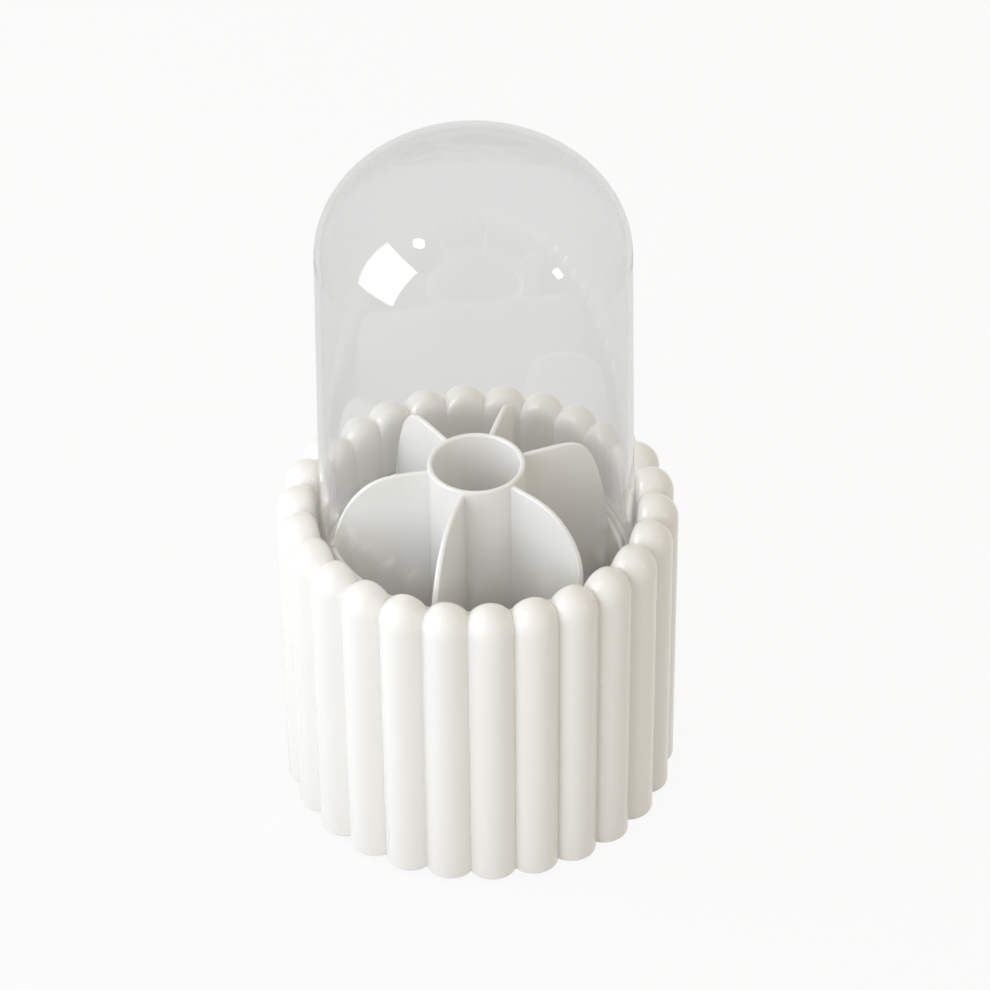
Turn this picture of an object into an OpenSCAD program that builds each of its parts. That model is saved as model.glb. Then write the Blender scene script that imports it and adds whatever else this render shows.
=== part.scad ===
// Dustproof organizer: a ribbed turning tub, a lift-out divided tray and a clear dome cover.
// Millimetres, +Z up, the table at z = 0 and the axis of rotation on Z. The front is -Y.

/* [Tub] */
// Outer diameter over the ribs
tub_d = 145; // [132:1:165]
// Width of the rim, from the dome's open end to the outside of the ribs
rim_w = 15.6; // [14.8:0.1:18]
// Height from the tub's bottom edge to the top of the ribs
tub_h = 122; // [110:1:150]
// Number of ribs
rib_count = 26; // [22:1:30]
// Radius of a rib and of its round top
rib_r = 9; // [8:0.1:9.6]
// Wall of the ribbed shell
shell_wall = 2.4; // [1.8:0.1:2.8]
// Space between the table and the tub's bottom edge
tub_lift = 2; // [1.5:0.5:4]
// Wall of the smooth liner
liner_wall = 2.5; // [2:0.1:3]
// Thickness of the liner's floor
liner_floor_t = 2.2; // [1.6:0.1:3]
// Height of the space under the liner's floor
service_h = 8; // [7:0.5:12]
// Length of the shell's inner lip below the dome's seat
lip_lap = 8; // [4:1:15]

/* [Dome] */
// How much narrower the radius is at the shoulder, where the crown starts, than at the open end
dome_taper = 2.1; // [1:0.1:4]
// Wall of the clear dome
dome_wall = 2; // [1.5:0.1:2.4]
// Height of the side, from the open end to the shoulder
dome_side_h = 131; // [110:1:150]
// Height of the crown above the shoulder
dome_crown_h = 41.5; // [30:0.5:54]
// Depth of the dome's seat below the top of the ribs
seat_depth = 26; // [18:1:34]
// Clearance round the dome in the tub's mouth
dome_gap = 0.5; // [0.3:0.1:0.8]

/* [Tray] */
// Clearance between the tray and the liner
tray_gap = 0.6; // [0.4:0.1:1]
// Thickness of the tray's walls
tray_wall = 2; // [1.6:0.1:2.6]
// Thickness of the tray's floor
tray_floor_t = 2; // [1.6:0.1:3]
// Outer radius of the centre cup
cup_r = 17.6; // [14:0.1:20]
// Height of the centre cup
cup_h = 116.7; // [100:0.1:125]
// Height of a divider where it leaves the cup
divider_h = 115.3; // [90:0.1:116]
// Height of the front wall
front_wall_h = 91.8; // [80:0.1:100]
// Height of the rear wall
rear_wall_h = 73.7; // [50:0.1:80]
// How full the slope of the top edge is on the front and end dividers
divider_bulge = 4; // [1:0.1:6]
// How full the slope of the top edge is on the rear dividers
rear_bulge = 7; // [1:0.1:9]
// Angle of each front compartment
front_angle = 64; // [60:1:80]
// Angle of each side compartment
side_angle = 64; // [50:1:70]
// Radius of the bend that leads an end divider into the front wall
bend_r = 6.5; // [5:0.5:16]

/* [Turntable] */
// Radius of the base disc
base_r = 58; // [54:1:60]
// Thickness of the base disc
base_t = 3; // [2.6:0.1:4]
// Radius of a foot pad
pad_r = 6; // [4:0.5:8]
// Thickness of a foot pad
pad_t = 1.5; // [1:0.1:2]
// Depth of a foot pad's recess
pad_recess = 0.5; // [0.3:0.1:0.6]
// Number of foot pads
pad_count = 6; // [4:1:8]
// Radius of the circle of foot pads
pad_ring_r = 48; // [40:1:50]
// Radius of a bearing ball
ball_r = 2.4; // [2:0.1:2.8]
// Number of bearing balls
ball_count = 12; // [8:1:16]
// Radius of the ball track
track_r = 36; // [33:0.5:38]
// Depth of each ball track
track_depth = 0.9; // [0.6:0.05:1.1]
// Clearance between a ball and its track
track_gap = 0.05; // [0.02:0.01:0.08]
// Width of the ball cage
cage_w = 9; // [8:0.5:12]
// Thickness of the ball cage
cage_t = 1.6; // [1.2:0.1:2]
// Clearance of a ball in the cage
cage_gap = 0.15; // [0.1:0.05:0.3]
// Space between the turntable plate and the heads of the liner screws
plate_inset = 1.7; // [1:0.1:3]
// Thickness of the turntable plate
plate_t = 2.5; // [2.3:0.1:3]
// Thickness of the tub's floor plate
floor_t = 2.5; // [2:0.1:3]

/* [Pivot] */
// Radius of the pivot screw's shoulder
shoulder_r = 3; // [2.5:0.1:3.5]
// Running clearance of the shoulder in its bush
pivot_gap = 0.05; // [0.02:0.01:0.08]
// Wall of the bush
bush_wall = 1.9; // [1.5:0.1:2.5]
// Radius of the bush's flange and of the washer
flange_r = 8; // [7.5:0.1:10]
// Thickness of the bush's flange
flange_t = 1; // [0.8:0.1:1.5]
// Thickness of the washer
washer_t = 1; // [0.8:0.1:1.2]
// Radius of the pivot screw's head
pivot_head_r = 5; // [4.5:0.1:6]
// Height of the pivot screw's head
pivot_head_h = 2.4; // [2:0.1:3]
// Radius of the pivot screw's thread
thread_r = 2; // [1.8:0.1:2.2]
// Width of the pivot nut across its flats
nut_flats = 7; // [6.5:0.1:8]
// Height of the pivot nut
nut_h = 3.2; // [2.8:0.1:3.4]

/* [Screws] */
// Radius of a self-tapping screw
screw_r = 1.4; // [1.2:0.1:1.6]
// Radius of a screw head
screw_head_r = 2.8; // [2.4:0.1:3]
// Height of a screw head
screw_head_h = 1.5; // [1.2:0.1:1.6]
// Radius of a screw boss
boss_r = 3.4; // [3:0.1:3.8]
// Number of screws in each group
screw_count = 4; // [3:1:6]
// Radius of the circle of turntable plate screws
plate_screw_ring_r = 22; // [18:1:26]
// Distance of a liner screw from the liner's outer face
liner_screw_inset = 7.6; // [7:0.1:9]
// Height of a boss in the shell
shell_boss_h = 14; // [10:1:20]
// Height of a boss on the floor plate
plate_boss_h = 5; // [4:0.5:6]

/* [Hidden] */
$fn = 96;

seat_play = 0.05; // clearance of fixed pieces in their holes
liner_play = 0.3; // clearance between the liner, the floor plate and the shell
ledge_step = 0.3; // how far the dome's seat stands in from the dome
hollow_play = 0.4; // how far a rib's hollow stays clear of the inner lip
web_rise = 1; // how far the web between two ribs rises past the start of their round tops
bend_step = 0.15; // how far a bend stands in from the face of the wall it runs into
bend_lap = 0.4; // angle by which the front wall laps over the end of a bend
cut = 1; // how far a cutting shape runs past a face
arc_steps = 30; // points along a curved outline
front = 270; // direction of the front

// Heights above the table
base_z = pad_t - pad_recess;
base_top = base_z + base_t;
ball_z = base_top - track_depth + track_gap + ball_r;
plate_z = ball_z + ball_r + track_gap - track_depth;
floor_z = plate_z + plate_t;
service_z = floor_z + floor_t;
liner_floor_z = service_z + service_h;
tray_z = liner_floor_z + liner_floor_t;
tub_top = tub_lift + tub_h;
rib_z = tub_top - rib_r;
seat_z = tub_top - seat_depth;
shoulder_z = seat_z + dome_side_h;

// Radii of the tub and the dome
dome_r = tub_d / 2 - rim_w;
dome_shoulder_r = dome_r - dome_taper;
rib_ring_r = tub_d / 2 - rib_r;
rib_step = 360 / rib_count;
rib_half_chord = rib_ring_r * sin(rib_step / 2);
groove_r = rib_ring_r * cos(rib_step / 2) + sqrt(max(0, rib_r ^ 2 - rib_half_chord ^ 2));
mouth_r = dome_r + dome_gap;
hollow_in = mouth_r + shell_wall;
hollow_out = groove_r - shell_wall;
rib_hollow_out = tub_d / 2 - shell_wall;
rib_hollow_r = min(rib_r - shell_wall, (rib_hollow_out - hollow_in) / 2 - hollow_play);
rib_hollow_ring = rib_hollow_out - rib_hollow_r;
liner_out = mouth_r - liner_play;
liner_in = dome_r - dome_wall - ledge_step;
liner_screw_ring_r = liner_out - liner_screw_inset;
plate_r = liner_screw_ring_r - screw_head_r - plate_inset;
floor_plate_r = hollow_out - liner_play;

// Screws and bosses
screw_hole_r = screw_r + seat_play;
shell_boss_ring = hollow_out - screw_head_r - liner_play;
pan_len = floor_t + service_h - 1;
plate_screw_len = plate_t - screw_head_h + floor_t + plate_boss_h - 1;
shell_screw_len = floor_t + shell_boss_h - 2;

// Pivot
pivot_boss_z = plate_z - 0.6;
bush_r = shoulder_r + pivot_gap + bush_wall;
washer_z = service_z + flange_t + pivot_gap;
pivot_head_z = washer_z + washer_t;
nut_play = 0.1;

// Tray
tray_r = liner_in - tray_gap;
wall_mid_r = tray_r - tray_wall / 2;
wall_in_r = tray_r - tray_wall;
bend_reach = sqrt((wall_mid_r - bend_step - bend_r) ^ 2 - bend_r ^ 2);
bend_turn = atan(bend_r / bend_reach);
right_rear = front + front_angle + side_angle;
left_rear = front - front_angle - side_angle;
tray_cut_h = max(cup_h, divider_h, front_wall_h) + cut;
end_dividers = [front - front_angle, front + front_angle];
rear_dividers = [left_rear, front + 180, right_rear];

// A divider's top edge as points of radius and height, from the cup down to a wall of height low
function edge_points(low, bulge) =
    [for (i = [0:arc_steps / 2]) let (run = sin(180 * i / arc_steps))
        [cup_r + (wall_in_r - cup_r) * run, divider_h + (low - divider_h) * run ^ bulge]];

// A quarter of an ellipse in the half plane, from the shoulder to the crown
function crown_points(a, c, z) =
    [for (i = [0:arc_steps]) [a * cos(90 * i / arc_steps), z + c * sin(90 * i / arc_steps)]];

module tube(r_out, r_in, h) {
    difference() {
        cylinder(r = r_out, h = h);
        translate([0, 0, -cut]) cylinder(r = r_in, h = h + 2 * cut);
    }
}

module ring_of(count, r, turn = 0) {
    for (i = [0:count - 1]) rotate([0, 0, turn + i * 360 / count]) translate([r, 0, 0]) children();
}

// The grooves between ribs that lie nearest to the quarter points
module at_shell_bosses() {
    for (i = [0:screw_count - 1])
        rotate([0, 0, front + round(i * rib_count / screw_count) * rib_step])
            translate([shell_boss_ring, 0, 0]) children();
}

// A screw with its head down at z = 0 and its shank up
module screw(len) {
    difference() {
        cylinder(r = screw_head_r, h = screw_head_h);
        translate([0, 0, -cut]) cylinder(r = screw_r * 0.7, h = cut + screw_head_h * 0.6, $fn = 6);
    }
    translate([0, 0, screw_head_h]) cylinder(r = screw_r, h = len - screw_r);
    translate([0, 0, screw_head_h + len - screw_r]) cylinder(r1 = screw_r, r2 = screw_r * 0.3, h = screw_r);
}

module base_disc() {
    color("white") difference() {
        union() {
            translate([0, 0, base_z]) cylinder(r = base_r, h = base_t);
            translate([0, 0, base_z]) cylinder(r = flange_r + 1, h = pivot_boss_z - base_z);
        }
        translate([0, 0, ball_z]) rotate_extrude() translate([track_r, 0]) circle(r = ball_r + track_gap);
        ring_of(pad_count, pad_ring_r) cylinder(r = pad_r + seat_play, h = pad_t);
        cylinder(r = thread_r + nut_play, h = pivot_boss_z + cut);
        cylinder(r = (nut_flats / 2 + nut_play) / cos(30), h = base_z + nut_h + nut_play, $fn = 6);
    }
}

module foot_pads() {
    color("dimgray") ring_of(pad_count, pad_ring_r) cylinder(r = pad_r, h = pad_t);
}

module pivot_screw() {
    color("silver") {
        translate([0, 0, base_z + 0.3]) cylinder(r = thread_r, h = pivot_boss_z - base_z - 0.3);
        translate([0, 0, pivot_boss_z]) cylinder(r = shoulder_r, h = pivot_head_z - pivot_boss_z);
        translate([0, 0, pivot_head_z]) difference() {
            cylinder(r = pivot_head_r, h = pivot_head_h);
            translate([0, 0, pivot_head_h * 0.4]) cylinder(r = thread_r, h = pivot_head_h, $fn = 6);
        }
    }
}

module pivot_washer() {
    color("silver") translate([0, 0, washer_z]) tube(flange_r, shoulder_r + seat_play, washer_t);
}

module pivot_nut() {
    color("silver") translate([0, 0, base_z + nut_play / 2]) difference() {
        cylinder(r = nut_flats / 2 / cos(30), h = nut_h, $fn = 6);
        translate([0, 0, -cut]) cylinder(r = thread_r + seat_play, h = nut_h + 2 * cut);
    }
}

module ball_cage() {
    color("gainsboro") translate([0, 0, ball_z - cage_t / 2]) difference() {
        tube(track_r + cage_w / 2, track_r - cage_w / 2, cage_t);
        ring_of(ball_count, track_r) translate([0, 0, -cut])
            cylinder(r = ball_r + cage_gap, h = cage_t + 2 * cut);
    }
}

module bearing_balls() {
    color("silver") translate([0, 0, ball_z]) ring_of(ball_count, track_r) sphere(r = ball_r);
}

module turntable_plate() {
    color("white") difference() {
        translate([0, 0, plate_z]) cylinder(r = plate_r, h = plate_t);
        translate([0, 0, ball_z]) rotate_extrude() translate([track_r, 0]) circle(r = ball_r + track_gap);
        cylinder(r = bush_r + seat_play, h = service_z);
        ring_of(screw_count, plate_screw_ring_r) {
            cylinder(r = screw_hole_r, h = service_z);
            cylinder(r = screw_head_r + seat_play, h = plate_z + screw_head_h);
        }
    }
}

module pivot_bush() {
    color("beige") {
        translate([0, 0, plate_z]) tube(bush_r, shoulder_r + pivot_gap, service_z - plate_z);
        translate([0, 0, service_z]) tube(flange_r, shoulder_r + pivot_gap, flange_t);
    }
}

module plate_screws() {
    color("silver") translate([0, 0, plate_z]) ring_of(screw_count, plate_screw_ring_r)
        screw(plate_screw_len);
}

module floor_plate() {
    color("white") difference() {
        union() {
            translate([0, 0, floor_z]) cylinder(r = floor_plate_r, h = floor_t);
            translate([0, 0, service_z]) ring_of(screw_count, plate_screw_ring_r)
                cylinder(r = boss_r, h = plate_boss_h);
        }
        cylinder(r = bush_r + seat_play, h = service_z + cut);
        translate([0, 0, floor_z - cut]) ring_of(screw_count, plate_screw_ring_r)
            cylinder(r = screw_hole_r, h = floor_t + plate_boss_h + 2 * cut);
        translate([0, 0, floor_z - cut]) ring_of(screw_count, liner_screw_ring_r, rib_step)
            cylinder(r = screw_hole_r, h = floor_t + 2 * cut);
        translate([0, 0, floor_z - cut]) at_shell_bosses() cylinder(r = screw_hole_r, h = floor_t + 2 * cut);
    }
}

module shell_screws() {
    color("silver") translate([0, 0, floor_z - screw_head_h]) at_shell_bosses() screw(shell_screw_len);
}

module liner_screws() {
    color("silver") translate([0, 0, floor_z - screw_head_h])
        ring_of(screw_count, liner_screw_ring_r, rib_step) screw(pan_len);
}

// The round tops of the ribs, from the ribs' shoulder up
module rib_tops() {
    intersection() {
        ring_of(rib_count, rib_ring_r, front + rib_step / 2) translate([0, 0, rib_z]) sphere(r = rib_r);
        translate([0, 0, rib_z]) cylinder(r = tub_d, h = rib_r + cut);
    }
}

module tub_shell() {
    color("white") difference() {
        union() {
            difference() {
                union() {
                    translate([0, 0, tub_lift]) linear_extrude(rib_z - tub_lift)
                        ring_of(rib_count, rib_ring_r, front + rib_step / 2) circle(r = rib_r);
                    translate([0, 0, tub_lift])
                        cylinder(r = rib_ring_r, h = rib_z + web_rise - tub_lift);
                    rib_tops();
                }
                cylinder(r = mouth_r, h = tub_top + cut);
                cylinder(r = hollow_out, h = seat_z - lip_lap);
                translate([0, 0, tub_lift - cut])
                    tube(hollow_out, hollow_in, rib_z - shell_wall - tub_lift + cut);
                ring_of(rib_count, rib_hollow_ring, front + rib_step / 2) {
                    translate([0, 0, tub_lift - cut]) cylinder(r = rib_hollow_r, h = rib_z - tub_lift + cut);
                    translate([0, 0, rib_z]) sphere(r = rib_hollow_r);
                }
            }
            translate([0, 0, service_z]) at_shell_bosses() cylinder(r = boss_r, h = shell_boss_h);
        }
        translate([0, 0, service_z - cut]) at_shell_bosses()
            cylinder(r = screw_hole_r, h = shell_boss_h - 1 + cut);
    }
}

module tub_liner() {
    color("white") difference() {
        union() {
            translate([0, 0, service_z]) tube(liner_out, liner_in, seat_z - service_z);
            translate([0, 0, liner_floor_z]) cylinder(r = liner_in + 1, h = liner_floor_t);
            translate([0, 0, service_z]) ring_of(screw_count, liner_screw_ring_r, rib_step)
                cylinder(r = boss_r, h = service_h + 0.5);
        }
        translate([0, 0, service_z - cut]) ring_of(screw_count, liner_screw_ring_r, rib_step)
            cylinder(r = screw_hole_r, h = service_h - 0.2 + cut);
    }
}

// A wall of the tray along an arc, from angle a to angle b
module arc_wall(r, h, a, b) {
    rotate([0, 0, a]) rotate_extrude(angle = b - a) translate([r - tray_wall / 2, 0])
        square([tray_wall, h]);
}

// A straight divider from the cup out to radius r
module divider(a, r) {
    rotate([0, 0, a]) translate([cup_r - tray_wall, -tray_wall / 2, tray_floor_t / 2])
        cube([r - cup_r + tray_wall, tray_wall, divider_h]);
}

// The bend that leads the divider at angle a into the front wall, turned by side, 1 or -1
module bend(a, side) {
    rotate([0, 0, a]) translate([bend_reach, side * bend_r, tray_floor_t / 2])
        if (side > 0) arc_wall(bend_r, divider_h, -90, bend_turn);
        else arc_wall(bend_r, divider_h, -bend_turn, 90);
}

// Dividers cut down to their top edge, which falls to a wall of height low
module edged(low, bulge) {
    difference() {
        children();
        cylinder(r = cup_r - tray_wall / 2, h = tray_cut_h);
        rotate_extrude() polygon(concat(edge_points(low, bulge),
            [[tray_r + cut, low], [tray_r + cut, tray_cut_h], [cup_r - tray_wall - cut, tray_cut_h],
                [cup_r - tray_wall - cut, divider_h]]));
    }
}

module divider_tray() {
    color("snow") translate([0, 0, tray_z]) {
        cylinder(r = tray_r, h = tray_floor_t);
        difference() {
            tube(tray_r, wall_in_r, front_wall_h);
            translate([0, 0, rear_wall_h]) rotate([0, 0, end_dividers[1] - bend_turn + bend_lap])
                rotate_extrude(angle = 360 - 2 * (front_angle - bend_turn + bend_lap))
                    translate([wall_in_r - cut, 0]) square([tray_wall + 2 * cut, front_wall_h]);
        }
        difference() {
            cylinder(r = cup_r, h = cup_h);
            translate([0, 0, tray_floor_t]) cylinder(r = cup_r - tray_wall, h = cup_h);
        }
        edged(front_wall_h, divider_bulge) {
            divider(front, wall_mid_r);
            for (a = end_dividers) divider(a, bend_reach);
            bend(end_dividers[0], 1);
            bend(end_dividers[1], -1);
        }
        edged(rear_wall_h, rear_bulge) for (a = rear_dividers) divider(a, wall_mid_r);
    }
}

module dome_cover() {
    color("lightcyan", 0.35) rotate_extrude() polygon(concat(
        [[dome_r - dome_wall, seat_z], [dome_r, seat_z]],
        crown_points(dome_shoulder_r, dome_crown_h, shoulder_z),
        [for (p = [arc_steps:-1:0])
            crown_points(dome_shoulder_r - dome_wall, dome_crown_h - dome_wall, shoulder_z)[p]]));
}

base_disc();
foot_pads();
pivot_screw();
pivot_washer();
pivot_nut();
ball_cage();
bearing_balls();
turntable_plate();
pivot_bush();
plate_screws();
floor_plate();
shell_screws();
liner_screws();
tub_shell();
tub_liner();
divider_tray();
dome_cover();
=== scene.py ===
import math
import bmesh
import bpy
from mathutils import Matrix, Vector


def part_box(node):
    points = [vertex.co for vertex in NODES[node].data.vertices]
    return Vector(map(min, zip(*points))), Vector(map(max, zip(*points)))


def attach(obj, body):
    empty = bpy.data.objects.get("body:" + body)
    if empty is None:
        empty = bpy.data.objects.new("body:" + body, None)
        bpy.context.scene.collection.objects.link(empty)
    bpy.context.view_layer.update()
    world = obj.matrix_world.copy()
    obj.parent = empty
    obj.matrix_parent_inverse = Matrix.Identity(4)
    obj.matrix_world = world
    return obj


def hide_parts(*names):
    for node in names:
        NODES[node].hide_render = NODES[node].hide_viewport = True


bl_info = {
    "name": "Turning organizer with dome cover",
    "version": (1, 0, 0),
    "blender": (4, 5, 0),
    "location": "View3D > Sidebar > Organizer",
    "description": "Ribbed tub, divided tray, clear dome and turntable "
                   "of a dressing-table organizer",
    "category": "Object",
}

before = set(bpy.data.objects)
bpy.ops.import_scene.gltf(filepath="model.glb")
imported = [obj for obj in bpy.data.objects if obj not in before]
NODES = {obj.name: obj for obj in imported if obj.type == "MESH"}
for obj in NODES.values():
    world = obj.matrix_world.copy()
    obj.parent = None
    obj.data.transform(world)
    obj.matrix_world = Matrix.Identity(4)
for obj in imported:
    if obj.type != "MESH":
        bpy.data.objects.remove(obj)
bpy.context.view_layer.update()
MM = 0.001
TAU = 2 * math.pi
MERGE = 1e-7
TUB_LOW, TUB_HIGH = (Vector(c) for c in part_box("tub_shell"))
DOME_LOW, DOME_HIGH = (Vector(c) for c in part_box("dome_cover"))
TRAY_LOW, TRAY_HIGH = (Vector(c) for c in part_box("divider_tray"))
FRONT = math.radians(270)
LAMP_TARGET = Vector((0, 0, 0.14))
SENSOR_WIDTH = 36
# how white the floor and the world look, and how much dimmer they shine to rays that came through
# clear plastic: painted shade on what is seen through the dome
FLOOR_WHITE, FLOOR_DIMMED_THROUGH_CLEAR = 0.92, 0.22
WORLD_WHITE, WORLD_DIMMED_THROUGH_CLEAR = 0.85, 0.08


# ---------------------------------------------------------------- settings

def length(name, description, default):
    """A length setting, given in metres."""
    return bpy.props.FloatProperty(
        name=name, description=description, default=default, unit="LENGTH", precision=5)


def angle(name, description, degrees):
    """An angle setting, given in degrees."""
    return bpy.props.FloatProperty(
        name=name, description=description, default=math.radians(degrees), unit="ROTATION")


def colour(name, description, rgb):
    """A colour setting."""
    return bpy.props.FloatVectorProperty(
        name=name, description=description, default=rgb, subtype="COLOR", size=3, min=0, max=1)


def amount(name, description, default, low, high):
    """A plain number setting."""
    return bpy.props.FloatProperty(
        name=name, description=description, default=default, min=low, max=high)


class TubSettings(bpy.types.PropertyGroup):
    """Sizes and colour of the ribbed tub."""
    ribs: bpy.props.IntProperty(
        name="Ribs", description="Number of ribs", default=26, min=12, max=40)
    rib_radius: length("Rib radius", "Radius of a rib and of its round top", 9 * MM)
    mouth_radius: length("Mouth radius", "Radius of the opening that takes the dome", 57.4 * MM)
    wall: length("Wall", "Wall of the ribbed shell", 2.4 * MM)
    lip_depth: length("Lip depth", "From the top of the ribs to the end of the inner lip", 34 * MM)
    flute: length("Flute", "Depth of the shallow flutes inside the mouth", 0.7 * MM)
    edge: length("Edge", "Rounding of the bottom edge", 1 * MM)
    colour: colour("Tub colour", "Colour of the tub's plastic", (0.935, 0.928, 0.912))


class TraySettings(bpy.types.PropertyGroup):
    """Sizes and colour of the divided tray."""
    wall: length("Wall", "Thickness of the tray's walls", 2 * MM)
    floor: length("Floor", "Thickness of the tray's floor", 2 * MM)
    cup_radius: length("Cup radius", "Outer radius of the centre cup", 17.6 * MM)
    divider_height: length(
        "Divider height", "Height of a divider where it leaves the cup", 115.3 * MM)
    front_height: length("Front height", "Height of the front wall", 91.8 * MM)
    rear_height: length("Rear height", "Height of the rear wall", 73.7 * MM)
    bulge: amount(
        "Bulge", "How full the slope of the front dividers' top edges is", 4.0, 1.0, 9.0)
    rear_bulge: amount(
        "Rear bulge", "How full the slope of the rear dividers' top edges is", 7.0, 1.0, 9.0)
    front_angle: angle("Front angle", "Angle of each front compartment", 64)
    side_angle: angle("Side angle", "Angle of each side compartment", 64)
    bend_radius: length(
        "Bend radius", "Bend that leads an end divider into the front wall", 6.5 * MM)
    fillet: length("Fillet", "Rounding between a wall and the floor", 1.6 * MM)
    rim: length("Rim", "Rounding of the walls' top edges", 0.85 * MM)
    colour: colour("Tray colour", "Colour of the tray's plastic", (0.925, 0.921, 0.912))


class DomeSettings(bpy.types.PropertyGroup):
    """Sizes and tint of the clear dome."""
    wall: length("Wall", "Wall of the clear dome", 2 * MM)
    shoulder_radius: length("Shoulder radius", "Outer radius where the crown starts", 54.8 * MM)
    crown: length("Crown", "Height of the crown above the shoulder", 41.5 * MM)
    rim: length("Rim", "Rounding of the open end", 0.7 * MM)
    tint: colour("Tint", "Tint of the clear plastic", (0.975, 0.978, 0.975))


class StageSettings(bpy.types.PropertyGroup):
    """Camera, floor and light from all round."""
    lens: amount("Lens", "Focal length in millimetres", 154.2, 20, 400)
    camera: bpy.props.FloatVectorProperty(
        name="Camera", description="Place of the camera", default=(0.3460, -1.1317, 1.0752),
        subtype="XYZ", unit="LENGTH", size=3)
    yaw: angle("Yaw", "Heading of the camera from straight back, to the right", -16.68)
    pitch: angle("Pitch", "How far the camera looks down", 38.81)
    roll: angle("Roll", "Tilt of the camera", -0.56)
    floor_colour: colour("Floor colour", "Colour of the floor", (0.62, 0.61, 0.59))
    ambient: colour("Ambient", "Colour of the light from all round", (0.66, 0.615, 0.53))


# ---------------------------------------------------------------- materials

class Value:
    """A node socket that can be used in arithmetic: every operator adds a Math node."""

    def __init__(self, mat, socket):
        self.mat, self.socket = mat, socket

    def _math(self, operation, *others):
        return self.mat.node("ShaderNodeMath", {"operation": operation},
                             {i: o for i, o in enumerate(others)})

    def __add__(self, other):
        return self._math("ADD", self, other)

    def __sub__(self, other):
        return self._math("SUBTRACT", self, other)

    def __rsub__(self, other):
        return self._math("SUBTRACT", other, self)

    def __mul__(self, other):
        return self._math("MULTIPLY", self, other)

    def __pow__(self, other):
        return self._math("POWER", self, other)

    def clamped(self):
        """The value kept between 0 and 1."""
        return self._math("MINIMUM", self._math("MAXIMUM", self, 0.0), 1.0)

    __radd__ = __add__
    __rmul__ = __mul__


class Finish:
    """A new material or world, and its nodes."""

    def __init__(self, name, kind="materials"):
        self.owner = getattr(bpy.data, kind).new(name)
        self.owner.use_nodes = True
        self.tree = self.owner.node_tree
        self.tree.nodes.clear()

    def node(self, kind, settings=None, inputs=None, out=0):
        """Adds a node: its settings first, then the values or links of its sockets."""
        made = self.tree.nodes.new(kind)
        for key, value in (settings or {}).items():
            setattr(made, key, value)
        for key, value in (inputs or {}).items():
            if isinstance(value, Value):
                self.tree.links.new(value.socket, made.inputs[key])
            else:
                made.inputs[key].default_value = value
        return Value(self, made.outputs[out] if made.outputs else None)

    def place(self):
        """Object coordinates, in metres."""
        return self.node("ShaderNodeTexCoord", out="Object")

    def noise(self, cells, detail=2.0, roughness=0.5, stretch=(1, 1, 1)):
        """Noise between 0 and 1 with so many cells to a metre."""
        where = self.node("ShaderNodeMapping", None, {"Vector": self.place(), "Scale": stretch})
        return self.node(
            "ShaderNodeTexNoise", {"noise_dimensions": "3D"},
            {"Vector": where, "Scale": cells, "Detail": detail, "Roughness": roughness})

    def rays(self, *kinds):
        """One value for each kind of ray, which is 1 for such a ray and 0 for others."""
        path = self.node("ShaderNodeLightPath")
        return [Value(self, path.socket.node.outputs[f"Is {kind} Ray"]) for kind in kinds]

    def blend(self, mask, first, second):
        """A colour between two colours, each plain or a value."""
        first, second = [c if isinstance(c, Value) else (*c, 1) for c in (first, second)]
        return self.node("ShaderNodeMix", {"data_type": "RGBA", "clamp_factor": True},
                         {0: mask, 6: first, 7: second}, out=2)

    def bump(self, height, distance, strength):
        """A normal bumped by a height between 0 and 1 that spans a distance."""
        return self.node("ShaderNodeBump", None,
                         {"Height": height, "Distance": distance, "Strength": strength})

    def surface(self, **sockets):
        """The main shader, wired to the output."""
        inputs = {key.replace("_", " ").title().replace("Ior", "IOR"): value
                  for key, value in sockets.items()}
        self.out(self.node("ShaderNodeBsdfPrincipled", None, inputs))

    def out(self, shader):
        """Wires a shader to the output."""
        self.node("ShaderNodeOutputMaterial", None, {"Surface": shader})


def shade(rgb, k):
    """A colour made lighter or darker."""
    return tuple(min(1.0, c * k) for c in rgb)


def moulded_plastic(name, rgb, rough, coat, grain=0.02 * MM, blue=0.958):
    """Injection-moulded plastic: faint flow clouds, specks, a fine skin and changes of gloss.

    The clouds are warmer than the rest: they keep only so much of its blue.
    """
    f = Finish(name)
    clouds = f.noise(28, 3, 0.55, stretch=(1, 1, 0.45))
    skin = f.noise(900, 3, 0.6)
    handled = f.noise(70, 4, 0.6)
    specks = ((f.noise(1400) - 0.62) * 6).clamped()
    pale = f.blend(specks, shade(rgb, 1.012), shade(rgb, 0.955))
    cloudy = tuple(c * k for c, k in zip(rgb, (0.972, 0.966, blue)))
    f.surface(base_color=f.blend(clouds, pale, cloudy),
              roughness=((handled - 0.5) * 0.16 + rough).clamped(),
              normal=f.bump(skin, grain, 0.5), coat_weight=coat, coat_roughness=0.06,
              ior=1.5, specular_ior_level=0.5)
    return f.owner


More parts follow.
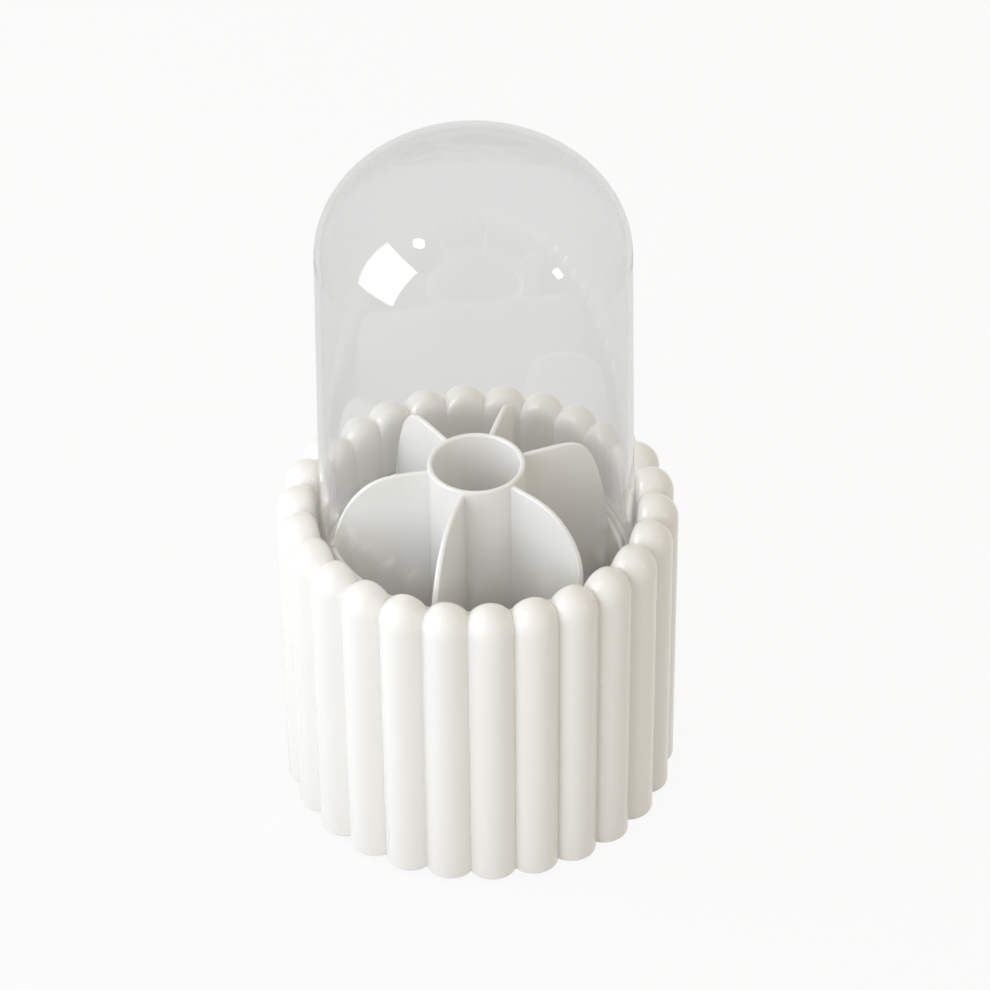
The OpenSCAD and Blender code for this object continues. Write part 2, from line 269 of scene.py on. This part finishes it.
def clear_plastic(name, tint):
    """Clear polished plastic, tinted darker where it is seen edge on: partly the longer path
    through the wall, mostly painted shade that darkens its outline.

    Light that falls on what is inside passes it almost freely.
    """
    f = Finish(name)
    handled = f.noise(45, 4, 0.6)
    wave = f.noise(16, 2, 0.4, stretch=(1, 1, 0.5))
    edge_on_shade = f.node("ShaderNodeLayerWeight", None, {"Blend": 0.5}, out="Facing")
    clear = f.node("ShaderNodeBsdfPrincipled", None, {
        # painted shade: the tint falls to 0.74 where the wall is seen edge on, which darkens the
        # dome's outline
        "Base Color": f.blend(edge_on_shade ** 3, tint, shade(tint, 0.74)),
        "Roughness": ((handled - 0.55) * 0.05).clamped(), "IOR": 1.49,
        "Transmission Weight": 1.0, "Normal": f.bump(wave, 0.08 * MM, 0.25)})
    shadow, diffuse = f.rays("Shadow", "Diffuse")
    passed = f.node("ShaderNodeBsdfTransparent", None, {"Color": (0.985, 0.986, 0.984, 1)})
    soft = (shadow + diffuse).clamped()
    f.out(f.node("ShaderNodeMixShader", None, {0: soft, 1: clear, 2: passed}))
    return f.owner


def turned_metal(name, rgb, rough, lines=2600):
    """Bright metal with fine turning marks."""
    f = Finish(name)
    marks = f.noise(lines, stretch=(1, 1, 0.05))
    smut = f.noise(160, 3, 0.6)
    f.surface(base_color=f.blend(smut, shade(rgb, 1.05), shade(rgb, 0.82)), metallic=1.0,
              roughness=((marks - 0.5) * 0.2 + rough).clamped(),
              normal=f.bump(marks, 0.01 * MM, 0.4))
    return f.owner


def soft_rubber(name, rgb):
    """Matt rubber with a fine pebbled skin and a little dust."""
    f = Finish(name)
    pebbles = f.noise(1500)
    dust = f.noise(120, 4, 0.65)
    f.surface(base_color=f.blend(dust, rgb, shade(rgb, 1.6)),
              roughness=(dust * 0.2 + 0.65).clamped(), normal=f.bump(pebbles, 0.05 * MM, 0.6))
    return f.owner


def dress(node, material):
    """Gives a CAD node its material."""
    slots = NODES[node].data.materials
    slots.clear()
    slots.append(material)


# ---------------------------------------------------------------- mesh helpers

def finished(name, bm, material, body, node, sharp):
    """Turns a bmesh into a piece that rides on a body and stands for a node.

    Edges that turn by more than sharp degrees stay sharp.
    """
    bmesh.ops.remove_doubles(bm, verts=bm.verts, dist=MERGE)
    bmesh.ops.recalc_face_normals(bm, faces=bm.faces)
    mesh = bpy.data.meshes.new(name)
    bm.to_mesh(mesh)
    bm.free()
    mesh.shade_smooth()
    mesh.set_sharp_from_angle(angle=math.radians(sharp))
    mesh.materials.append(material)
    piece = bpy.data.objects.new(name, mesh)
    bpy.context.scene.collection.objects.link(piece)
    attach(piece, body)
    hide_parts(node)


def turned(bm, points, steps):
    """A chain of edges through points (radius, height), turned full circle round Z."""
    verts = [bm.verts.new((r, 0, z)) for r, z in points]
    edges = [bm.edges.new(pair) for pair in zip(verts, verts[1:])]
    bmesh.ops.spin(bm, geom=verts + edges, cent=(0, 0, 0), axis=(0, 0, 1), dvec=(0, 0, 0),
                   angle=TAU, steps=steps, use_merge=True, use_normal_flip=False,
                   use_duplicate=False)


def arc(centre, radius, start, end, steps):
    """Points along an arc, with its angles in degrees."""
    turn = [math.radians(start + (end - start) * i / steps) for i in range(steps + 1)]
    return [(centre[0] + radius * math.cos(a), centre[1] + radius * math.sin(a)) for a in turn]


# ---------------------------------------------------------------- pieces

def rib_section(tub, t):
    """The tub's closed outline in the half plane at an angle t from the middle of a rib."""
    ring = TUB_HIGH.x - tub.rib_radius
    step = TAU / tub.ribs
    size, least = [math.sqrt(tub.rib_radius ** 2 - (ring * math.sin(a)) ** 2)
                   for a in (t, step / 2)]
    middle = ring * math.cos(t)
    fullness = (size - least) / (tub.rib_radius - least)
    inner = tub.mouth_radius + tub.flute * (1 - fullness)
    outer, hollow = middle + size, middle + size - tub.wall
    shoulder = TUB_HIGH.z - tub.rib_radius
    bottom, lip = TUB_LOW.z, TUB_HIGH.z - tub.lip_depth
    # two rings of points that keep the long walls from being one face high
    outer_ring, inner_ring = bottom + 40 * MM, shoulder - 12 * MM
    power = 2 / (2 + fullness)
    points, steps = [], 14
    for i in range(steps + 1):
        a = math.radians(180 - 90 * i / steps)
        points.append((middle - (middle - inner) * abs(math.cos(a)) ** power,
                       shoulder + size * math.sin(a) ** power))
    # the curve inside ends at the very top, so the one outside starts a little past it
    points += arc((middle, shoulder), size, 84, 0, steps)
    points += [(outer, outer_ring)]
    points += arc((outer - tub.edge, bottom + tub.edge), tub.edge, 0, -90, 4)
    points += [(hollow, bottom), (hollow, shoulder - tub.wall)]
    back = tub.mouth_radius + tub.wall
    points += [(back, shoulder - tub.wall), (back, lip + tub.edge)]
    points += arc((back - tub.edge, lip + tub.edge), tub.edge, 0, -90, 2)
    points += [(inner + tub.edge * 0.5, lip), (inner, lip + tub.edge * 0.5)]
    points += [(inner, inner_ring)]
    return points


def build_tub(tub, material):
    """One rib's wedge, shaped from a flat grid and repeated round the axis."""
    bm = bmesh.new()
    step = TAU / tub.ribs
    columns, crowding = 18, 0.86
    rows = len(rib_section(tub, 0))
    bmesh.ops.create_grid(bm, x_segments=columns, y_segments=rows, size=1)
    sections = {}
    for v in bm.verts:
        u = round((v.co.x + 1) / 2 * columns)
        # closer together near the grooves, where the rib turns fastest
        share = (math.sin((u / columns - 0.5) * math.pi * crowding)
                 / math.sin(math.pi / 2 * crowding))
        t = share * step / 2
        if u not in sections:
            sections[u] = rib_section(tub, t)
        r, z = sections[u][round((v.co.y + 1) / 2 * rows) % rows]
        turn = FRONT + step / 2 + t
        v.co = (r * math.cos(turn), r * math.sin(turn), z)
    bmesh.ops.spin(bm, geom=bm.verts[:] + bm.edges[:] + bm.faces[:], cent=(0, 0, 0),
                   axis=(0, 0, 1), dvec=(0, 0, 0), angle=TAU - step, steps=tub.ribs - 1,
                   use_merge=False, use_normal_flip=False, use_duplicate=True)
    finished("ribbed_tub", bm, material, "tub", "tub_shell", sharp=50)


def edge_height(tray, r, low, bulge):
    """Height at radius r of a divider's top edge, which falls to a wall of height low."""
    inner = TRAY_HIGH.x - tray.wall
    run = min(1.0, max(0.0, (r - tray.cup_radius) / (inner - tray.cup_radius)))
    return tray.divider_height + (low - tray.divider_height) * run ** bulge


def wall_section(tray, height, foot):
    """The closed section of an upright wall with a rounded top, centred on zero."""
    half, rim = tray.wall / 2, tray.rim
    points = [(half, foot)] + arc((half - rim, height - rim), rim, 0, 90, 5)
    points += arc((rim - half, height - rim), rim, 90, 180, 5) + [(-half, foot)]
    return points


def divider(bm, tray, a, reach, low, bulge, bend=0):
    """One divider from the cup out to a radius, and round its bend if it has one."""
    base = TRAY_LOW.z
    height, foot = tray.divider_height, tray.floor / 2
    before = set(bm.verts)
    # its inner end lies in the cup's wall
    start = tray.cup_radius - tray.wall * 0.6
    verts = [bm.verts.new((start, y, z)) for y, z in wall_section(tray, height, foot)]
    edges = [bm.edges.new(p) for p in zip(verts, verts[1:] + verts[:1])]
    bm.faces.new(verts)
    geom = verts + edges
    # closer together at the outer end, where the top edge falls fastest
    steps = 36
    stations = [start + (reach - start) * math.sin(math.pi / 2 * i / steps)
                for i in range(steps + 1)]
    for near, far in zip(stations, stations[1:]):
        made = bmesh.ops.extrude_edge_only(bm, edges=edges)["geom"]
        verts = [g for g in made if isinstance(g, bmesh.types.BMVert)]
        edges = [g for g in made if isinstance(g, bmesh.types.BMEdge)
                 and all(v in verts for v in g.verts)]
        bmesh.ops.translate(bm, verts=verts, vec=(far - near, 0, 0))
    if bend:
        turn = math.pi / 2 + math.atan2(tray.bend_radius, reach)
        last = bmesh.ops.spin(bm, geom=verts + edges, cent=(reach, bend * tray.bend_radius, 0),
                              axis=(0, 0, bend), dvec=(0, 0, 0), angle=turn, steps=28,
                              use_merge=False, use_normal_flip=False,
                              use_duplicate=False)["geom_last"]
        edges = [g for g in last if isinstance(g, bmesh.types.BMEdge)]
    bmesh.ops.holes_fill(bm, edges=edges, sides=0)
    made = [v for v in bm.verts if v not in before]
    for v in made:
        r = math.hypot(v.co.x, v.co.y)
        if v.co.z > height / 2:
            v.co.z += edge_height(tray, r, low, bulge) - height
        v.co.z += base
    bmesh.ops.rotate(bm, verts=made, cent=(0, 0, 0), matrix=Matrix.Rotation(a, 3, "Z"))


def build_tray(tray, material):
    """Floor with its round wall, centre cup and dividers."""
    bm = bmesh.new()
    outer, wall, rim, floor = TRAY_HIGH.x, tray.wall, tray.rim, tray.floor
    base, fillet = TRAY_LOW.z, tray.fillet
    inner = outer - wall
    mid = outer - wall / 2
    bend_mid = math.sqrt((mid - tray.bend_radius) ** 2 - tray.bend_radius ** 2)
    bend_turn = math.atan2(tray.bend_radius, bend_mid)
    tall, slack = tray.front_height, 1e-4
    points = [(0, 0)] + arc((outer - rim, rim), rim, -90, 0, 4)
    points += arc((outer - rim, tall - rim), rim, 0, 90, 5)
    points += arc((inner + rim, tall - rim), rim, 90, 180, 5)
    points += arc((inner - fillet, floor + fillet), fillet, 0, -90, 5) + [(0, floor)]
    turned(bm, points, 360)
    # the wall drops from the bends on round the rear
    for v in bm.verts:
        a = (math.atan2(v.co.y, v.co.x) - FRONT + math.pi) % TAU - math.pi
        if v.co.z > tall / 2 and abs(a) > tray.front_angle - bend_turn + slack:
            v.co.z += tray.rear_height - tall
        v.co.z += base
    made = set(bm.verts)
    cup, cup_in, top = tray.cup_radius, tray.cup_radius - wall, TRAY_HIGH.z - base
    points = [(0, floor / 2), (cup, floor / 2)]
    points += arc((cup - rim, top - rim), rim, 0, 90, 5)
    points += arc((cup_in + rim, top - rim), rim, 90, 180, 5)
    points += arc((cup_in - fillet, floor + fillet), fillet, 0, -90, 5) + [(0, floor)]
    turned(bm, points, 96)
    for v in bm.verts:
        if v not in made:
            v.co.z += base
    front, rear = (tray.front_height, tray.bulge), (tray.rear_height, tray.rear_bulge)
    divider(bm, tray, FRONT, mid, *front)
    divider(bm, tray, FRONT - tray.front_angle, bend_mid, *front, bend=1)
    divider(bm, tray, FRONT + tray.front_angle, bend_mid, *front, bend=-1)
    side = tray.front_angle + tray.side_angle
    for a in (math.pi, side, -side):
        divider(bm, tray, FRONT + a, mid, *rear)
    finished("divided_tray", bm, material, "tray", "divider_tray", sharp=40)


def build_dome(dome, material):
    """The thin clear shell, turned in one piece."""
    bm = bmesh.new()
    low, top, foot = DOME_LOW.z, DOME_HIGH.z, DOME_HIGH.x
    shoulder = top - dome.crown
    wall, rim, reach = dome.wall, dome.rim, dome.shoulder_radius
    side, crown, around = 12, 40, 160
    outside = arc((foot - rim, low + rim), rim, -90, 0, 4)
    outside += [(foot + (reach - foot) * i / side, low + (shoulder - low) * i / side)
                for i in range(1, side)]
    turn = [math.radians(90 * i / crown) for i in range(crown + 1)]
    outside += [(reach * math.cos(a), shoulder + dome.crown * math.sin(a)) for a in turn]
    inside = [((reach - wall) * math.cos(a), shoulder + (dome.crown - wall) * math.sin(a))
              for a in reversed(turn)]
    inside += [(foot - wall + (reach - foot) * i / side, low + (shoulder - low) * i / side)
               for i in range(side - 1, 0, -1)]
    inside += arc((foot - wall + rim, low + rim), rim, 180, 270, 4)
    outside[-1], inside[0] = (0, top), (0, top - wall)
    turned(bm, outside, around)
    turned(bm, inside, around)
    # the narrow flat of the open end joins the two walls
    bmesh.ops.remove_doubles(bm, verts=bm.verts, dist=MERGE)
    ends = [e for e in bm.edges if e.is_boundary]
    bmesh.ops.bridge_loops(bm, edges=ends)
    finished("clear_dome", bm, material, "dome", "dome_cover", sharp=60)


# ---------------------------------------------------------------- operators

class ORGANIZER_OT_tub(bpy.types.Operator):
    """Makes the ribbed tub"""
    bl_idname = "organizer.tub"
    bl_label = "Make tub"

    def execute(self, context):
        tub = context.scene.organizer_tub
        build_tub(tub, moulded_plastic("tub plastic", tub.colour, 0.24, 0.35))
        liner = moulded_plastic("liner plastic", shade(tub.colour, 0.98), 0.34, 0.1)
        dress("tub_liner", liner)
        return {"FINISHED"}


class ORGANIZER_OT_tray(bpy.types.Operator):
    """Makes the divided tray"""
    bl_idname = "organizer.tray"
    bl_label = "Make tray"

    def execute(self, context):
        tray = context.scene.organizer_tray
        build_tray(tray, moulded_plastic("tray plastic", tray.colour, 0.2, 0.4))
        return {"FINISHED"}


class ORGANIZER_OT_dome(bpy.types.Operator):
    """Makes the clear dome"""
    bl_idname = "organizer.dome"
    bl_label = "Make dome"

    def execute(self, context):
        dome = context.scene.organizer_dome
        build_dome(dome, clear_plastic("dome plastic", dome.tint))
        return {"FINISHED"}


class ORGANIZER_OT_turntable(bpy.types.Operator):
    """Finishes the turntable, its bearing and its screws"""
    bl_idname = "organizer.turntable"
    bl_label = "Finish turntable"

    def execute(self, context):
        tub = context.scene.organizer_tub
        satin = moulded_plastic("base plastic", shade(tub.colour, 0.97), 0.42, 0.0, 0.04 * MM)
        nylon = moulded_plastic("nylon", (0.78, 0.75, 0.66), 0.45, 0.0, 0.04 * MM, 0.943)
        steel = turned_metal("zinc steel", (0.62, 0.62, 0.64), 0.32)
        bright = turned_metal("ball steel", (0.78, 0.78, 0.8), 0.12, 1200)
        rubber = soft_rubber("pad rubber", (0.045, 0.045, 0.047))
        finishes = {
            "base_disc": satin, "turntable_plate": satin, "floor_plate": satin,
            "ball_cage": nylon, "pivot_bush": nylon, "bearing_balls": bright,
            "pivot_screw": steel, "pivot_washer": steel, "pivot_nut": steel,
            "plate_screws": steel, "shell_screws": steel, "liner_screws": steel,
            "foot_pads": rubber,
        }
        for node, material in finishes.items():
            dress(node, material)
        return {"FINISHED"}


def lamp(name, toward, distance, size, power, tone=(1, 1, 1), shape="RECTANGLE",
         highlight=False):
    """An area lamp in a direction from the object, which it faces: a soft light or a highlight."""
    data = bpy.data.lights.new(name, "AREA")
    data.shape, data.size, data.size_y = shape, size[0], size[1]
    data.energy, data.color = power, tone
    made = bpy.data.objects.new(name, data)
    made.location = LAMP_TARGET + Vector(toward).normalized() * distance
    made.rotation_euler = (LAMP_TARGET - made.location).to_track_quat("-Z", "Y").to_euler()
    made.visible_camera = False
    made.visible_diffuse = not highlight
    made.visible_glossy = made.visible_transmission = highlight
    bpy.context.scene.collection.objects.link(made)


def build_floor(stage):
    """A wide floor: white to the eye, and a pale surface to the light that falls on it."""
    bm = bmesh.new()
    bmesh.ops.create_grid(bm, x_segments=1, y_segments=1, size=6)
    mesh = bpy.data.meshes.new("floor")
    bm.to_mesh(mesh)
    bm.free()
    floor = bpy.data.objects.new("floor", mesh)
    bpy.context.scene.collection.objects.link(floor)
    f = Finish("floor")
    camera, gloss, clear = f.rays("Camera", "Glossy", "Transmission")
    seen = (camera + gloss + clear).clamped()
    # painted shade: seen through clear plastic the floor shines dimmer, which greys the dome
    white = f.node("ShaderNodeEmission", None,
                   {"Color": (1, 1, 1, 1), "Strength": seen - clear * FLOOR_DIMMED_THROUGH_CLEAR})
    paint = f.node("ShaderNodeBsdfDiffuse", None, {"Color": (*stage.floor_colour, 1)})
    f.out(f.node("ShaderNodeMixShader", None, {0: seen * FLOOR_WHITE, 1: paint, 2: white}))
    mesh.materials.append(f.owner)


def build_world(stage):
    """White to the eye, and a softer light to all else."""
    w = Finish("studio", "worlds")
    bpy.context.scene.world = w.owner
    camera, gloss, clear = w.rays("Camera", "Glossy", "Transmission")
    soft = w.node("ShaderNodeBackground", None, {"Color": (*stage.ambient, 1), "Strength": 1.0})
    # painted shade: seen through clear plastic the world shines dimmer, which greys the dome
    plain = w.node("ShaderNodeBackground", None, {
        "Color": (1, 1, 1, 1),
        "Strength": camera * (1 - WORLD_WHITE) + WORLD_WHITE - clear * WORLD_DIMMED_THROUGH_CLEAR})
    seen = (camera + gloss + clear).clamped()
    mixed = w.node("ShaderNodeMixShader", None, {0: seen, 1: soft, 2: plain})
    w.node("ShaderNodeOutputWorld", None, {"Surface": mixed})


def place_camera(stage):
    """The main camera, from its heading, pitch and roll."""
    data = bpy.data.cameras.new("camera")
    data.lens, data.sensor_width, data.sensor_fit = stage.lens, SENSOR_WIDTH, "HORIZONTAL"
    data.clip_end = 20
    camera = bpy.data.objects.new("camera", data)
    yaw, pitch, roll = stage.yaw, stage.pitch, stage.roll
    forward = Vector((math.sin(yaw) * math.cos(pitch), math.cos(yaw) * math.cos(pitch),
                      -math.sin(pitch)))
    right = Vector((math.cos(yaw), -math.sin(yaw), 0))
    up = right.cross(forward)
    side = right * math.cos(roll) + up * math.sin(roll)
    top = up * math.cos(roll) - right * math.sin(roll)
    turn = Matrix((side, top, -forward)).transposed()
    camera.matrix_world = Matrix.Translation(stage.camera) @ turn.to_4x4()
    bpy.context.scene.collection.objects.link(camera)
    bpy.context.scene.camera = camera


class ORGANIZER_OT_stage(bpy.types.Operator):
    """Sets up the floor, the lamps and the camera"""
    bl_idname = "organizer.stage"
    bl_label = "Set up stage"

    def execute(self, context):
        stage = context.scene.organizer_stage
        build_floor(stage)
        build_world(stage)
        cool = (0.81, 0.89, 1)
        lamp("left light", (-0.95, -0.10, 0.30), 1.3, (0.9, 0.9), 3.95, cool)
        lamp("front light", (-0.30, -0.88, 0.32), 0.7, (0.5, 0.5), 2.1, cool)
        lamp("high light", (-0.75, -0.10, 0.85), 0.7, (0.5, 0.5), 0.85, cool)
        lamp("window", (-0.70, -0.51, 0.40), 1.3, (0.72, 0.95), 12, highlight=True)
        lamp("ceiling lamp", (-0.42, -0.28, 0.86), 1.3, (0.15, 0.15), 0.9, shape="DISK",
             highlight=True)
        lamp("right strip", (0.86, -0.08, 0.47), 1.3, (0.1, 0.2), 0.45, highlight=True)
        place_camera(stage)
        context.scene.view_settings.view_transform = "Standard"
        return {"FINISHED"}


class ORGANIZER_PT_panel(bpy.types.Panel):
    """Lists the pieces and the stage"""
    bl_idname = "ORGANIZER_PT_panel"
    bl_label = "Organizer"
    bl_space_type = "VIEW_3D"
    bl_region_type = "UI"
    bl_category = "Organizer"

    def draw(self, context):
        for key, step in STEPS.items():
            box = self.layout.box()
            settings = getattr(context.scene, "organizer_" + key, None)
            if settings:
                for name in settings.__annotations__:
                    box.prop(settings, name)
            box.operator(step.bl_idname)


STEPS = {
    "tub": ORGANIZER_OT_tub,
    "tray": ORGANIZER_OT_tray,
    "dome": ORGANIZER_OT_dome,
    "turntable": ORGANIZER_OT_turntable,
    "stage": ORGANIZER_OT_stage,
}
SETTINGS = {"tub": TubSettings, "tray": TraySettings, "dome": DomeSettings, "stage": StageSettings}


def register():
    """Registers the settings, the operators and the panel."""
    for cls in (*SETTINGS.values(), *STEPS.values(), ORGANIZER_PT_panel):
        bpy.utils.register_class(cls)
    for key, cls in SETTINGS.items():
        setattr(bpy.types.Scene, "organizer_" + key, bpy.props.PointerProperty(type=cls))


def unregister():
    """Takes them out again."""
    for key in SETTINGS:
        delattr(bpy.types.Scene, "organizer_" + key)
    for cls in (ORGANIZER_PT_panel, *STEPS.values(), *SETTINGS.values()):
        bpy.utils.unregister_class(cls)


def main():
    """Makes every piece, then the stage."""
    register()
    for step in STEPS.values():
        group, name = step.bl_idname.split(".")
        getattr(getattr(bpy.ops, group), name)()


if __name__ == "__main__":
    main()
